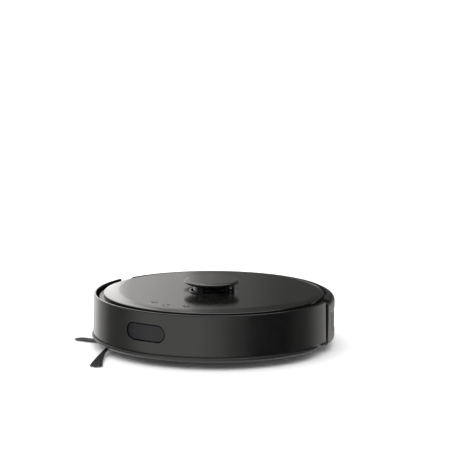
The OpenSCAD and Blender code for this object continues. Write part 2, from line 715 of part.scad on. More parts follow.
module dustbin_body() color("#3f4247") {
    difference() {
        translate([0, 0, bin_z[0]]) linear_extrude(bin_z[1] - bin_z[0] - 2) bin_outline(0);
        translate([0, 0, bin_z[0] + 2]) linear_extrude(60) difference() {
            bin_outline(2);
            translate([-100, 158]) square([200, 40]);
        }
        // Hollow behind the outer wall, for the latch
        block([-18, 160, 46], [18, 171.3, 60]);
        block([-15.3, 165, 48], [15.3, 190, 54.6]);
        block([-40, bin_front - e, 26], [40, bin_front + 3, 44]);
        block([port[0], port[1], 10], [port[0] + port[2], port[1] + port[3], bin_z[0] + 3]);
        block([60, 97, 20], [bin_x + e, 141, 50]);
        // Grip under the outer wall
        block([-32, 166, 0], [32, 180, 20]);
    }
}

module dustbin_lid() color(charcoal) translate([0, 0, bin_z[1] - 2]) {
    linear_extrude(2) bin_outline(0);
    translate([0, 0, -1.5]) linear_extrude(1.6) difference() {
        bin_outline(2.3);
        bin_outline(4);
        translate([-100, 157]) square([200, 40]);
    }
}

module dustbin_filter() color("#dcdcd4") {
    difference() {
        block([63, 97.2, 20.2], [bin_x - 0.2, 140.8, 49.8]);
        block([62, 100, 23], [bin_x, 138, 47]);
    }
    for (y = [100.5 : 3 : 136]) block([64.5, y, 22.9], [70, y + 1.5, 47.1]);
}

module dustbin_release() color(satin) {
    block([-15, 167.5, 48.3], [15, 170.9, 54.3]);
    intersection() {
        block([-15, 170.8, 48.3], [15, 180, 54.3]);
        cylinder(r = body_r - 0.5, h = 80);
    }
}

module evac_flap() color("#26272a") difference() {
    union() {
        block([port[0] - 0.5, port[1] + 0.5, 12.7], [port[0] + port[2] + 0.5, port[1] + port[3] + 1, 14.1]);
        rod_x(port[0] - 0.5, port[0] + port[2] + 0.5, port[1] + 0.5, 13.4, 0.7);
    }
    block([port[0] + 15, port[1] + 20, 12], [port[0] + 25, port[1] + 24, 13.2]);
}

base_pan();
top_housing();
top_plate();
turret_frame();
turret_cap();
lidar_bearing();
lidar_motor();
lidar_belt();
lidar_pulley();
lidar_head();
lidar_lenses();
button_board();
power_button();
dock_button();
spot_button();
main_board();
battery_pack();
battery_cover();
speaker();
sensor_windows();
housing_screws();
charging_contacts();
exhaust_grille();
fan_housing();
fan_motor();
fan_impeller();
bumper_shell();
bumper_strip();
bumper_window();
bumper_springs();
bumper_switches();
brush_deck();
brush_motor();
brush_motor_pulley();
brush_belt();
brush_drive_pulley();
main_brush_core();
main_brush_fins();
brush_cover();
brush_cover_latches();
side_brush_motor();
side_brush_hub();
side_brush_bristles();
side_brush_screw();
wheel_arm_left();
wheel_hub_left();
tyre_left();
wheel_spring_left();
wheel_arm_right();
wheel_hub_right();
tyre_right();
wheel_spring_right();
caster_fork();
caster_axle();
caster_wheel();
dustbin_body();
dustbin_lid();
dustbin_filter();
dustbin_release();
evac_flap();
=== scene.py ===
import math
import random

import bmesh
import bpy
from mathutils import Matrix, Vector
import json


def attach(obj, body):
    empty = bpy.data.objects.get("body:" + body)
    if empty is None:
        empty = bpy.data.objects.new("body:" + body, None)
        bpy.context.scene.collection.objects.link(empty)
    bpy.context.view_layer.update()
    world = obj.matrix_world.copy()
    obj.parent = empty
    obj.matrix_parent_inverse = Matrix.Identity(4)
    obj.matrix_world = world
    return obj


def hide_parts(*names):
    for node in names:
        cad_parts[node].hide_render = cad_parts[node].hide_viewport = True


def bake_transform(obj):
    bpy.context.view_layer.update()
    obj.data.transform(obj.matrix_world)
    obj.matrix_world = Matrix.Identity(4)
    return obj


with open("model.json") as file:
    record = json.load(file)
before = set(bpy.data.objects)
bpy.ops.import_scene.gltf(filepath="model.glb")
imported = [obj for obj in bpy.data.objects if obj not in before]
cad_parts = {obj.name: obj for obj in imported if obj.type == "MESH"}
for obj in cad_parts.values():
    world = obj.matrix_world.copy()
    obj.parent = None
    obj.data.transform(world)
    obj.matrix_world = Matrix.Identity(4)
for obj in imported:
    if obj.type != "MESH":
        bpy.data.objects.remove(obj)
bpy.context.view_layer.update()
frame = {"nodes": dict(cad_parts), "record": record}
nodes = frame["nodes"]
MM = 0.001
random.seed(7)

# ---------- camera ----------

AZIMUTH, PITCH, ROLL = 29.34, 9.24, 0.35  # degrees
camera_data = bpy.data.cameras.new("camera")
camera_data.lens = 140.3
camera_data.sensor_width = 36
camera_data.clip_end = 200
camera = bpy.data.objects.new("camera", camera_data)
camera.matrix_world = (
    Matrix.Translation((1.303, -2.257, 0.5826))
    @ Matrix.Rotation(math.radians(AZIMUTH), 4, "Z")
    @ Matrix.Rotation(math.radians(90 - PITCH), 4, "X")
    @ Matrix.Rotation(math.radians(ROLL), 4, "Z")
)
bpy.context.scene.collection.objects.link(camera)
bpy.context.scene.camera = camera

# ---------- materials ----------


def material(
    name,
    colour,
    rough,
    grain=0.4,
    depth=0.02,
    vary=0.12,
    rough_vary=0.06,
    metallic=0.0,
    coat=0.0,
    specular=0.5,
    stretch=(1, 1, 1),
):
    """Plastic, rubber or metal: mottled colour and roughness with a fine grain. Grain and depth are in mm."""
    m = bpy.data.materials.new(name)
    m.use_nodes = True
    tree = m.node_tree
    new, link = tree.nodes.new, tree.links.new
    shader = tree.nodes["Principled BSDF"]
    shader.inputs["Metallic"].default_value = metallic
    shader.inputs["Coat Weight"].default_value = coat
    shader.inputs["Coat Roughness"].default_value = 0.12
    shader.inputs["Specular IOR Level"].default_value = specular
    place = new("ShaderNodeTexCoord")
    mapping = new("ShaderNodeMapping")
    mapping.inputs["Scale"].default_value = stretch
    link(place.outputs["Object"], mapping.inputs["Vector"])

    def noise(size_mm, detail, steps):
        n = new("ShaderNodeTexNoise")
        n.inputs["Scale"].default_value = 1000 / size_mm
        n.inputs["Detail"].default_value = detail
        link(mapping.outputs["Vector"], n.inputs["Vector"])
        ramp = new("ShaderNodeValToRGB")
        for element, (at, value) in zip(ramp.color_ramp.elements, steps):
            element.position, element.color = at, value
        link(n.outputs["Fac"], ramp.inputs["Fac"])
        return n, ramp

    low = tuple(c * (1 - vary) for c in colour) + (1,)
    high = tuple(c * (1 + vary) for c in colour) + (1,)
    _, tint = noise(14, 5, [(0.35, low), (0.65, high)])
    link(tint.outputs["Color"], shader.inputs["Base Color"])
    r0, r1 = max(rough - rough_vary, 0.02), min(rough + rough_vary, 1)
    _, polish = noise(6, 4, [(0.3, (r0,) * 3 + (1,)), (0.7, (r1,) * 3 + (1,))])
    link(polish.outputs["Color"], shader.inputs["Roughness"])
    fine, _ = noise(grain, 2, [])
    bump = new("ShaderNodeBump")
    bump.inputs["Strength"].default_value = 0.6
    bump.inputs["Distance"].default_value = depth * MM
    link(fine.outputs["Fac"], bump.inputs["Height"])
    link(bump.outputs["Normal"], shader.inputs["Normal"])
    return m


M = {
    "charcoal_plastic": material("charcoal_plastic", (0.008, 0.0079, 0.0076), 0.38, 0.5, 0.008),
    "satin_plastic": material("satin_plastic", (0.0055, 0.0054, 0.0051), 0.13, 0.4, 0.0001, rough_vary=0.01),
    "bumper_plastic": material("bumper_plastic", (0.005, 0.0049, 0.0047), 0.2, 0.4, 0.001, rough_vary=0.02),
    "black_plastic": material("black_plastic", (0.0045, 0.0045, 0.0046), 0.18, 0.8, 0.003),
    "inner_plastic": material("inner_plastic", (0.035, 0.0355, 0.037), 0.52, 0.6, 0.03),
    "grey_plastic": material("grey_plastic", (0.16, 0.163, 0.168), 0.45, 0.6, 0.025),
    "cap_plastic": material("cap_plastic", (0.011, 0.0108, 0.0104), 0.2, 0.4, 0.0002, specular=1.0, rough_vary=0.015),
    "button_plastic": material("button_plastic", (0.012, 0.0119, 0.0115), 0.26, 0.4, 0.001),
    "latch_plastic": material("latch_plastic", (0.55, 0.12, 0.03), 0.42, 0.5, 0.02),
    "soft_strip": material("soft_strip", (0.009, 0.0089, 0.0086), 0.36, 0.35, 0.006),
    "rubber_black": material("rubber_black", (0.012, 0.012, 0.012), 0.78, 0.3, 0.05),
    "belt_rubber": material("belt_rubber", (0.01, 0.01, 0.01), 0.7, 0.5, 0.04),
    "fin_rubber": material("fin_rubber", (0.36, 0.1, 0.025), 0.5, 0.6, 0.03),
    "bristle": material("bristle", (0.006, 0.006, 0.0064), 0.6, 0.2, 0.01, stretch=(1, 1, 1)),
    "lens": material("lens", (0.003, 0.0026, 0.0045), 0.06, 2, 0.001, specular=0.3, rough_vary=0.02),
    "steel": material("steel", (0.55, 0.555, 0.57), 0.3, 0.3, 0.01, metallic=1.0),
    "motor_can": material("motor_can", (0.42, 0.43, 0.45), 0.38, 0.4, 0.015, metallic=1.0),
    "gold_contact": material("gold_contact", (0.75, 0.55, 0.25), 0.25, 0.3, 0.008, metallic=1.0),
    "circuit_board": material("circuit_board", (0.012, 0.07, 0.035), 0.35, 1.2, 0.03),
    "battery_wrap": material("battery_wrap", (0.03, 0.07, 0.17), 0.3, 5, 0.05, coat=0.4),
    "filter_paper": material("filter_paper", (0.7, 0.69, 0.63), 0.9, 0.25, 0.06),
    "mark_white": material("mark_white", (0.5, 0.5, 0.5), 0.45, 0.5, 0.005, vary=0.04),
}
slot_of = {s["node"]: s["material_slot"] for s in frame["record"]["subparts"]}
body_of = {n: b for b, ns in frame["record"]["behaviour"]["bodies"].items() for n in ns}

# ---------- mesh helpers, in millimetres ----------


def polar(r, angle, z):
    """A point at a radius and an angle counted from the front towards the robot's left."""
    a = math.radians(angle)
    return Vector((r * math.sin(a), -r * math.cos(a), z))


def fillet(points, steps=5):
    """Polygon points (x, y, radius) with each corner rounded."""
    out = []
    n = len(points)
    for i, (x, y, r) in enumerate(points):
        p = Vector((x, y))
        a = Vector(points[i - 1][:2]) - p
        b = Vector(points[(i + 1) % n][:2]) - p
        turn = math.pi - a.angle(b)
        if r <= 0 or turn < 0.02:
            out.append(p)
            continue
        cut = min(r * math.tan(turn / 2), 0.48 * a.length, 0.48 * b.length)
        start, end = p + a.normalized() * cut, p + b.normalized() * cut
        for k in range(steps + 1):
            t = k / steps
            out.append((1 - t) ** 2 * start + 2 * t * (1 - t) * p + t * t * end)
    return out


def area(outline):
    return sum(
        a[0] * b[1] - b[0] * a[1] for a, b in zip(outline, outline[1:] + outline[:1])
    ) / 2


def inset(outline, d):
    """The outline moved inwards by d."""
    sign = 1 if area(outline) > 0 else -1
    out = []
    n = len(outline)
    for i, p in enumerate(outline):
        e0 = (p - outline[i - 1]).normalized()
        e1 = (outline[(i + 1) % n] - p).normalized()
        normal = Vector((-e0[1] - e1[1], e0[0] + e1[0])) * sign
        if normal.length < 1e-6:
            out.append(p.copy())
            continue
        normal.normalize()
        slope = max(0.5, normal.dot(Vector((-e0[1], e0[0])) * sign))
        out.append(p + normal * d / slope)
    return out


def build(name, verts, faces, smooth=38):
    mesh = bpy.data.meshes.new(name)
    mesh.from_pydata([Vector(v) * MM for v in verts], [], faces)
    b = bmesh.new()
    b.from_mesh(mesh)
    bmesh.ops.remove_doubles(b, verts=b.verts, dist=1e-7)
    bmesh.ops.recalc_face_normals(b, faces=b.faces)
    b.to_mesh(mesh)
    b.free()
    obj = bpy.data.objects.new(name, mesh)
    bpy.context.scene.collection.objects.link(obj)
    shade(obj, smooth)
    return obj


def shade(obj, smooth=38):
    for p in obj.data.polygons:
        p.use_smooth = True
    obj.data.set_sharp_from_angle(angle=math.radians(smooth))


def loft(name, rings, closed=False, smooth=38):
    """A skin through rings of points; the two ends are capped unless it closes on itself."""
    n = len(rings[0])
    verts = [p for ring in rings for p in ring]
    faces = []
    for i in range(len(rings) if closed else len(rings) - 1):
        j = (i + 1) % len(rings)
        for k in range(n):
            m = (k + 1) % n
            faces.append((i * n + k, i * n + m, j * n + m, j * n + k))
    if not closed:
        faces.append(tuple(range(n)))
        faces.append(tuple((len(rings) - 1) * n + k for k in range(n)))
    return build(name, verts, faces, smooth)


def sweep(name, outline, start, end, step=0.75, ends=0.0, middle=(0, 0)):
    """An outline of (radius, height) swept round Z; its two ends are rounded by ends mm."""
    radius = max(p[0] for p in outline)
    count = max(2, round((end - start) / step))
    angles = [(start + (end - start) * i / count, 0) for i in range(count + 1)]
    if ends:
        head = [(ends * (1 - math.cos(t)), ends * (1 - math.sin(t))) for t in (0.0, 0.5, 1.0)]
        angles = (
            [(start + math.degrees(a / radius), d) for a, d in head]
            + angles[2:-2]
            + [(end - math.degrees(a / radius), d) for a, d in reversed(head)]
        )
    rings = []
    for angle, d in angles:
        shape = inset(outline, d) if d > 1e-6 else outline
        rings.append([polar(r, angle, z) + Vector((*middle, 0)) for r, z in shape])
    return loft(name, rings)


def lathe(name, outline, middle=(0, 0), steps=160, smooth=38):
    """A closed outline of (radius, height) turned all round a vertical axis."""
    rings = [
        [polar(r, 360 * i / steps, z) + Vector((*middle, 0)) for r, z in outline]
        for i in range(steps)
    ]
    return loft(name, rings, closed=True, smooth=smooth)


def lathe_x(name, outline, y, z, steps=96, smooth=38):
    """A closed outline of (x, radius) turned all round an axis along X."""
    rings = []
    for i in range(steps):
        a = 2 * math.pi * i / steps
        rings.append([Vector((x, y + r * math.cos(a), z + r * math.sin(a))) for x, r in outline])
    return loft(name, rings, closed=True, smooth=smooth)


def prism(name, outline, z0, z1, edge=0.4, lower_edge=None):
    """An outline raised from z0 to z1 with rounded edges."""
    lower = edge if lower_edge is None else lower_edge
    levels = []
    for t in (0, 0.35, 0.7, 1):
        levels.append((lower * (1 - math.sin(t * math.pi / 2)), z0 + lower * (1 - math.cos(t * math.pi / 2))))
    for t in (1, 0.7, 0.35, 0):
        levels.append((edge * (1 - math.sin(t * math.pi / 2)), z1 - edge * (1 - math.cos(t * math.pi / 2))))
    return loft(name, [[Vector((*p, z)) for p in inset(outline, d)] for d, z in levels])


def box(name, low, high, edge=0.3):
    corners = [(low[0], low[1]), (high[0], low[1]), (high[0], high[1]), (low[0], high[1])]
    return prism(name, fillet([(*c, edge * 2) for c in corners], 3), low[2], high[2], edge)


def disc_outline(at, r, steps=64):
    return [Vector((at[0], at[1])) + polar(r, -360 * i / steps, 0).xy for i in range(steps)]


def tube(name, path, radius, sides=6, taper=0.0):
    """A round wire along a path of points."""
    rings = []
    up = Vector((0, 0, 1))
    for i, p in enumerate(path):
        t = (path[min(i + 1, len(path) - 1)] - path[max(i - 1, 0)]).normalized()
        side = t.cross(up)
        side = side.normalized() if side.length > 1e-4 else t.cross(Vector((0, 1, 0))).normalized()
        other = side.cross(t)
        r = radius * (1 - taper * i / (len(path) - 1))
        rings.append(
            [
                p + (side * math.cos(2 * math.pi * k / sides) + other * math.sin(2 * math.pi * k / sides)) * r
                for k in range(sides)
            ]
        )
    return loft(name, rings)


def boolean(obj, cutters, kind="DIFFERENCE", smooth=38):
    """Cuts or joins solids exactly and applies the result."""
    for cutter in cutters:
        mod = obj.modifiers.new("cut", "BOOLEAN")
        mod.operation, mod.solver, mod.object = kind, "EXACT", cutter
        bpy.context.view_layer.update()
        result = bpy.data.meshes.new_from_object(obj.evaluated_get(bpy.context.evaluated_depsgraph_get()))
        obj.modifiers.clear()
        obj.data = result
    for cutter in cutters:
        bpy.data.objects.remove(cutter)
    shade(obj, smooth)
    return obj


def join(name, parts):
    """One object from several, keeping each one's material."""
    b = bmesh.new()
    materials = []
    for part in parts:
        index = []
        for m in part.data.materials:
            if m not in materials:
                materials.append(m)
            index.append(materials.index(m))
        before = len(b.faces)
        b.from_mesh(part.data)
        b.faces.ensure_lookup_table()
        for f in b.faces[before:]:
            f.material_index = index[f.material_index] if index else 0
    mesh = bpy.data.meshes.new(name)
    b.to_mesh(mesh)
    b.free()
    for m in materials:
        mesh.materials.append(m)
    obj = bpy.data.objects.new(name, mesh)
    bpy.context.scene.collection.objects.link(obj)
    for part in parts:
        bpy.data.objects.remove(part)
    return obj


def paint(obj, slot):
    obj.data.materials.clear()
    obj.data.materials.append(M[slot])
    return obj


def finished(obj, node, *more, slot=None, rides=True):
    """obj takes the place, the body and the finish of a CAD node."""
    slot = slot or slot_of[node]
    if not obj.data.materials:
        paint(obj, slot)
    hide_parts(node, *more)
    if rides:
        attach(obj, body_of[node])
    return obj


def softened(node, width=0.35, smooth=35):
    """A copy of a CAD node with rounded edges."""
    obj = bpy.data.objects.new(node + "_soft", nodes[node].data.copy())
    bpy.context.scene.collection.objects.link(obj)
    obj.data.materials.clear()
    b = bmesh.new()
    b.from_mesh(obj.data)
    bmesh.ops.remove_doubles(b, verts=b.verts, dist=2e-6)
    bmesh.ops.dissolve_limit(b, angle_limit=math.radians(0.5), verts=b.verts, edges=b.edges)
    b.to_mesh(obj.data)
    b.free()
    mod = obj.modifiers.new("bevel", "BEVEL")
    mod.width, mod.segments, mod.limit_method = width * MM, 2, "ANGLE"
    mod.angle_limit = math.radians(40)
    mod.use_clamp_overlap = True
    bpy.context.view_layer.update()
    result = bpy.data.meshes.new_from_object(obj.evaluated_get(bpy.context.evaluated_depsgraph_get()))
    obj.modifiers.clear()
    obj.data = result
    shade(obj, smooth)
    return finished(obj, node)


# ---------- bumper ----------

TURRET = (0, -7)
PILL_TURN, PILL_HALF, PILL_R, PILL_Z = -3.25, 19.5, 11.5, 46


def pill_ring(grow, radius, steps=24):
    """Points of the upright pill outline, pushed out to a cylinder of that radius."""
    ahead, side = polar(1, PILL_TURN, 0), polar(1, PILL_TURN + 90, 0)
    r = PILL_R + grow
    flat = []
    for centre, first in ((PILL_HALF, -90), (-PILL_HALF, 90)):
        for k in range(steps + 1):
            a = math.radians(first + 180 * k / steps)
            flat.append((centre + r * math.cos(a), r * math.sin(a)))
        flat += [(centre * (1 - k / 5), flat[-1][1]) for k in range(1, 10)]
    return [ahead * math.sqrt(radius**2 - u**2) + side * u + Vector((0, 0, PILL_Z + v)) for u, v in flat]


wall = [(172.2, 18.3, 0.4), (174.5, 18.3, 0.4)]
wall += [(174.5 - 1.25 * (z - 18) / 57.4, z, 0) for z in range(20, 74, 2)]
wall += [(173.25, 75.4, 2.0), (170.4, 75.4, 0.9), (170.4, 68, 0.5), (171, 66, 0)]
bumper = sweep("bumper_shell_skin", fillet(wall, 6), -95.5, 95.5, 0.5, ends=0.7)
cutter = loft(
    "cutter",
    [
        pill_ring(0.9, 160),
        pill_ring(0.9, 173.45),
        pill_ring(1.0, 173.75),
        pill_ring(1.3, 174.0),
        pill_ring(3.2, 176.5),
    ],
)
boolean(bumper, [cutter])
seats = []
for side in (-1, 1):
    wedge = [Vector((side * x, y)) for x, y in ((57.5, -158.7), (66.4, -158.7), (61.5, -160.6), (57.5, -162))]
    seats.append(prism("seat", wedge, 41.5, 50.5, 0.2))
finished(join("bumper_shell_skin.001", [bumper] + seats), "bumper_shell")

window = loft(
    "bumper_window_glass",
    [
        pill_ring(-11, 171),
        pill_ring(-4, 171),
        pill_ring(-0.2, 171),
        pill_ring(-0.2, 172.4),
        pill_ring(-0.35, 172.75),
        pill_ring(-0.7, 172.98),
        pill_ring(-1.2, 173.05),
        pill_ring(-3, 173.08),
        pill_ring(-8, 173.1),
        pill_ring(-11, 173.1),
    ],
)
finished(window, "bumper_window")

strip_outline = fillet(
    [
        (172.1, 16.8, 0),
        (175.2, 16.8, 0.8),
        (176.3, 15.8, 0.8),
        (176.4, 13.4, 0.6),
        (175.9, 13.0, 0.2),
        (175.9, 12.7, 0.2),
        (173.8, 10.6, 0.5),
        (171.6, 10.6, 0.3),
        (171.2, 11.1, 0.2),
        (171.2, 16.5, 0.3),
    ],
    4,
)
lip = sweep("lip", fillet([(172.2, 16.4, 0), (172.6, 16.4, 0), (172.6, 17.9, 0.1), (172.2, 17.9, 0.1)]), -83.5, 83.5)
tail_outline = fillet(
    [(172.4, 16.6, 0.4), (175, 16.2, 0.6), (175.4, 15.5, 0.5), (174.6, 13.2, 0.5), (172.6, 11.7, 0.4)]
)
tails = [sweep("tail", tail_outline, a, a + 3.1, 0.5, ends=0.6) for a in (-87, 83.9)]
strip = sweep("bumper_strip_soft", strip_outline, -84, 84, 0.5, ends=0.9)
finished(join("bumper_strip_soft.001", [strip, lip] + tails), "bumper_strip")

# ---------- springs: real coils, built in place and carried by no body ---


def helix(centre, direction, r, wire, length, turns, name):
    """A coil with closed ends, its first end at centre."""
    direction = Vector(direction)
    u = direction.orthogonal().normalized()
    v = direction.cross(u)
    steps = 20 * turns
    path = []
    for i in range(steps + 1):
        t = i / steps
        a = 2 * math.pi * turns * t
        open_part = min(max((t * turns - 0.8) / (turns - 1.6), 0), 1)
        along = wire * 1.1 + 2 * wire * min(t * turns, 0.8) + open_part * (length - 5.4 * wire)
        along += 2 * wire * max(0, min(t * turns - (turns - 0.8), 0.8))
        path.append(Vector(centre) + direction * along + (u * math.cos(a) + v * math.sin(a)) * r)
    return tube(name, path, wire, 8)


springs = [helix((s * 62, -143.8, 46), (0, -1, 0), 3.6, 0.5, 14.2, 6, "spring") for s in (-1, 1)]
bumper_springs = finished(join("bumper_coils", springs), "bumper_springs", rides=False)
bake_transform(bumper_springs)

for name, side in (("left", 1), ("right", -1)):
    coil = helix((side * 94.5, -54.2, 57), (0, 1, 0), 3, 0.5, 48, 15, f"wheel_coil_{name}")
    finished(coil, f"wheel_spring_{name}", rides=False)
    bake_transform(coil)

# ---------- rear housing ----------


def arc(cx, cz, r, a0, a1, n=12):
    return [
        Vector((cx + r * math.cos(math.radians(a)), cz + r * math.sin(math.radians(a))))
        for a in [a0 + (a1 - a0) * i / n for i in range(n + 1)]
    ]


rear_outline = (
    [Vector((168.9, 11.3))]
    + arc(171.5, 14.8, 3.5, -90, 0)
    + [Vector((175, z)) for z in range(20, 64, 4)]
    + arc(166, 65.5, 9, 0, 70)
    + [Vector((165.9, 75.2))]
    + arc(165.2, 75.2, 0.7, 0, 90, 4)
    + arc(163.5, 75.2, 0.7, 90, 180, 4)
    + [Vector((162.8, 68.3)), Vector((168.5, 68.3))]
    + arc(166, 62, 6.3, 60, 0, 8)
    + [Vector((172.3, 20)), Vector((168.9, 14))]
)
rear = sweep("top_housing_shell", rear_outline, 98.1, 261.9, 0.6)
cuts = [box("cut", (-73, 100, 8), (73, 190, 60.3), 0.5)]
notch = fillet([(160, 70.6, 0), (180, 70.6, 0), (180, 80, 0), (160, 80, 0)])
cuts += [sweep("cut", notch, a, a + 5.3) for a in (97.2, -102.5)]
vent_hole = fillet([(170, 24, 0), (180, 24, 0), (180, 58, 0), (170, 58, 0)])
cuts.append(sweep("cut", vent_hole, 101.5, 121.5))
for a in (163.6, 191.3):
    cuts.append(sweep("cut", fillet([(172.4, 62, 0), (180, 62, 0), (180, 69, 0), (172.4, 69, 0)]), a, a + 5.1, 1))
cuts.append(box("cut", (-9, 173.9, 62), (9, 180, 69), 0.8))
boolean(rear, cuts)

deck = prism("deck", disc_outline((0, 0), 163.1, 240), 68, 70.5, 0.2)
deck_cuts = [prism("cut", disc_outline(TURRET, 34), 60, 80, 0.1)]
deck_cuts.append(prism("cut", disc_outline((-37.7, 12.4), 3, 32), 60, 80, 0.1))
deck_cuts.append(box("cut", (-37, -143, 60), (37, -111, 80), 0.8))
boolean(deck, deck_cuts)
front_wall = sweep(
    "wall",
    fillet(
        [(160, 68.15, 0), (163.3, 68.15, 0), (163.3, 24.2, 0)]
        + [(165.8, 24.2, 0.4), (165.8, 70.35, 0.8), (160, 70.35, 0)]
    ),
    -98.2,
    98.2,
)
wall_cuts = []
for s in (-1, 1):
    wall_cuts.append(box("cut", (s * 62 - 8, -175, 38), (s * 62 + 8, -146, 54), 0.5))
    wall_cuts.append(box("cut", (s * 104 - 7, -150, 38), (s * 104 + 7, -118, 54), 0.5))
boolean(front_wall, wall_cuts)
pieces = [rear, deck, front_wall]
end_wall = fillet([(164, 22.3, 0.3), (174.4, 22.3, 0.3), (174.4, 69, 1), (164, 69, 0.3)])
pieces += [sweep("end", end_wall, a, a + 1.1, 0.5) for a in (98.0, -99.1)]
pieces.append(lathe("ring", fillet([(151.5, 70.4, 0), (155.5, 70.4, 0), (155.5, 70.9, 0.1), (151.5, 70.9, 0.1)])))
for s in (-1, 1):
    pieces.append(box("plate", (s * 62 - 6, -143.5, 40), (s * 62 + 6, -140.5, 68.1), 0.3))
finished(join("top_housing_shell.001", pieces), "top_housing")

# ---------- top plate and turret cap: a flat between two large arcs that slope to the rim ----------


def across(x, y, dx, dy, cx, cy, r):
    """How far a ray from (x, y) runs inside a circle."""
    px, py = x - cx, y - cy
    b = px * dx + py * dy
    return -b + math.sqrt(max(b * b - px * px - py * py + r * r, 0))


def soft_step(d, w=0.9):
    """0 below -w, d above w, and smooth between."""
    return 0 if d < -w else d if d > w else (d + w) ** 2 / (4 * w)


def height(x, y, top, rim, size, run, drop, shift=(0, 0)):
    """Height of the face at a point: the rim's slope or the crescents', whichever is lower."""
    fall = 0
    for side in (-1, 1):
        d = math.hypot(x - side * 42 * size, y - 37 * size) - 193 * size
        fall = max(fall, soft_step(d, 0.8 * max(size, 0.4)) * drop / run)
    r = math.hypot(x - shift[0], y - shift[1])
    for (r0, z0), (r1, z1) in zip(rim, rim[1:]):
        if r0 < r <= r1 + 1e-6:
            return min(top - fall, z0 + (z1 - z0) * (r - r0) / (r1 - r0))
    return top - fall


def dished(middle, hole, top, rim, lower, size, run, drop, steps, centred):
    """A round plate drawn as rays from the turret's axis, with rings that follow its creases."""
    rings = []
    for i in range(steps):
        a = math.radians(360 * i / steps)
        dx, dy = math.sin(a), -math.cos(a)
        x0, y0 = middle if not centred else (0, 0)
        crease = min(across(x0, y0, dx, dy, s * 42 * size, 37 * size, 193 * size) for s in (-1, 1))
        edge = across(x0, y0, dx, dy, 0, 0, rim[0][0])
        crease = min(crease, edge - 0.05)
        w = 0.8 * max(size, 0.4)
        dist = [hole + (crease - w - hole) * (k / 12) for k in range(13)]
        dist += [crease - w / 2, crease, crease + w / 2, crease + w]
        dist = [min(d, edge) for d in dist]
        dist += [crease + w + (edge - crease - w) * k / 8 if edge > crease + w else edge for k in range(1, 9)]
        pts = []
        for d in dist:
            x, y = x0 + dx * d, y0 + dy * d
            pts.append((x, y, height(x, y, top, rim, size, run, drop)))
        for r, z in rim[1:]:
            d = across(x0, y0, dx, dy, 0, 0, r)
            x, y = x0 + dx * d, y0 + dy * d
            pts.append((x, y, min(z, height(x, y, top, [(0, top), (1, top)], size, run, drop))))
        for r, z in lower:
            d = across(x0, y0, dx, dy, 0, 0, r)
            pts.append((x0 + dx * d, y0 + dy * d, z))
        rings.append((pts, (x0, y0), (dx, dy)))
    return rings


plate_rim = [(149.5, 78), (150.8, 77.8), (154.8, 76.85), (158.3, 75.98)]
plate_rim += [(159.0, 75.75), (159.35, 75.4), (159.5, 75.0)]
plate_lower = [(159.5, 71.6), (159.1, 71.0), (157, 71.0), (157, 73), (147, 73.2)]
rays = dished(
    TURRET, hole=33.75, top=78, rim=plate_rim, lower=plate_lower, size=1, run=24, drop=2.4, steps=540, centred=False
)
plate_rings = []
for pts, (x0, y0), (dx, dy) in rays:
    inner = [(x0 + dx * r, y0 + dy * r, z) for r, z in ((33.4, 73.2), (33.4, 77.6), (33.5, 77.85))]
    plate_rings.append([Vector(p) for p in inner + pts])
plate = loft("top_plate_skin", plate_rings, closed=True)
BUTTONS = {"power_button": (0, -133), "dock_button": (-26, -121), "spot_button": (26, -121)}
holes = []
for x, y in BUTTONS.values():
    flare = [(4.9, 60), (4.9, 77.45), (5.0, 77.75), (5.4, 78.05), (6.6, 79.2), (6.6, 90), (0.001, 90), (0.001, 60)]
    holes.append(lathe("hole", [Vector(p) for p in flare], (x, y), 64))
boolean(plate, holes)
finished(plate, "top_plate")

# Each button has a small printed mark: a ring, a dot and a bar
for name, at in BUTTONS.items():
    face = fillet(
        [(0.001, 73.6, 0), (5.7, 73.6, 0.2), (5.7, 75.1, 0.2)]
        + [(4.5, 75.1, 0), (4.5, 78.2, 0.5), (0.001, 78.1, 0)]
    )
    key = paint(lathe(name, face, at, 64), "button_plastic")
    if name == "power_button":
        print_shape = [Vector(p) for p in ((1.3, 78.05), (1.75, 78.05), (1.75, 78.22), (1.3, 78.22))]
        mark = lathe("mark", print_shape, at, 40)
    elif name == "dock_button":
        dot = ((0.001, 78.05), (0.9, 78.05), (0.9, 78.22), (0.001, 78.22))
        mark = lathe("mark", [Vector(p) for p in dot], at, 32)
    else:
        mark = box("mark", (at[0] - 1.5, at[1] - 0.35, 78.05), (at[0] + 1.5, at[1] + 0.35, 78.22), 0.05)
    finished(join(name + "_cap", [key, paint(mark, "mark_white")]), name)

cap_rim = [(36.4, 94.6), (37.4, 94.5), (38.3, 94.15), (39.0, 93.75), (39.5, 93.4)]
cap_rim += [(39.85, 93.1), (40, 92.75), (40, 91.4), (39.7, 90.7), (39.0, 90.3)]
cap_lower = [(34.6, 88.15), (34.2, 88), (29.6, 88), (29.5, 88.1), (29.5, 91.6), (0.01, 91.6)]
cap_rays = dished(
    (0, 0), hole=0.01, top=94.6, rim=cap_rim, lower=cap_lower, size=0.25, run=6.5, drop=1.6, steps=240, centred=True
)
cap_rings = []
for pts, _, _ in cap_rays:
    cap_rings.append([Vector(p) + Vector((*TURRET, 0)) for p in pts])
finished(paint(loft("turret_cap_skin", cap_rings, closed=True), "cap_plastic"), "turret_cap")

# ---------- turret ----------

